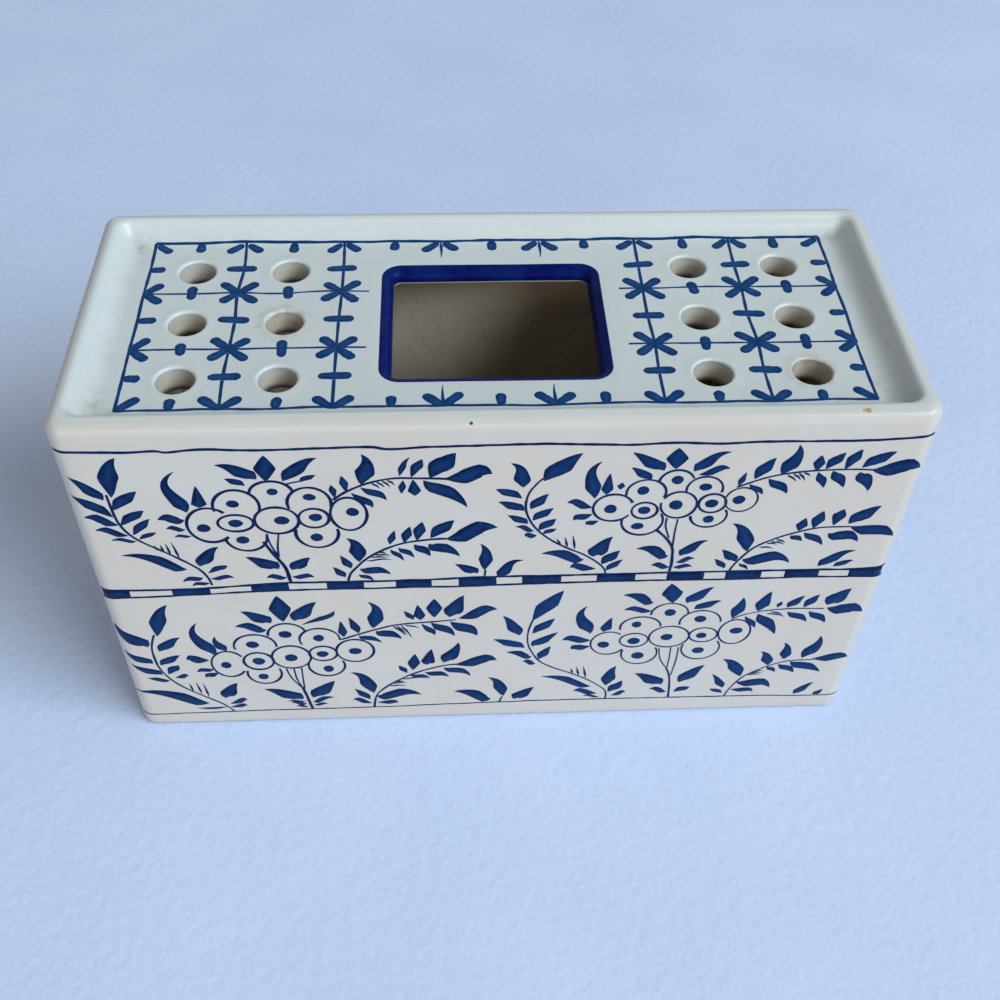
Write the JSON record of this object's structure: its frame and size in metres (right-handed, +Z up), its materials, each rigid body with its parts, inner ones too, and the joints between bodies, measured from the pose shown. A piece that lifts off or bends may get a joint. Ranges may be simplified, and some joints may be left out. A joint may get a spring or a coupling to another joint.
{
  "type": "flower brick",
  "caption": "Slab-built glazed earthenware flower brick: a closed box with a recessed pierced top, a square filling mouth and round stem holes inside a coved rim.",
  "frame": {"origin": "under the middle of the base, on the table", "axes": "+Z up, +X along the length to the right as seen from the front, -Y the front"},
  "size_m": [0.2, 0.082, 0.116],
  "materials": {
    "glazed_earthenware": "glossy cool white tin glaze",
    "bare_earthenware": "matt buff fired clay"
  },
  "bodies": {
    "root": {"base_slab": "glazed_earthenware", "front_wall": "glazed_earthenware", "back_wall": "glazed_earthenware", "left_wall": "glazed_earthenware", "right_wall": "glazed_earthenware", "pierced_top": "glazed_earthenware", "rim_fillet": "glazed_earthenware", "base_coil": "bare_earthenware", "corner_coil_fl": "bare_earthenware", "corner_coil_fr": "bare_earthenware", "corner_coil_bl": "bare_earthenware", "corner_coil_br": "bare_earthenware", "ledge_coil": "bare_earthenware"}
  },
  "joints": []
}
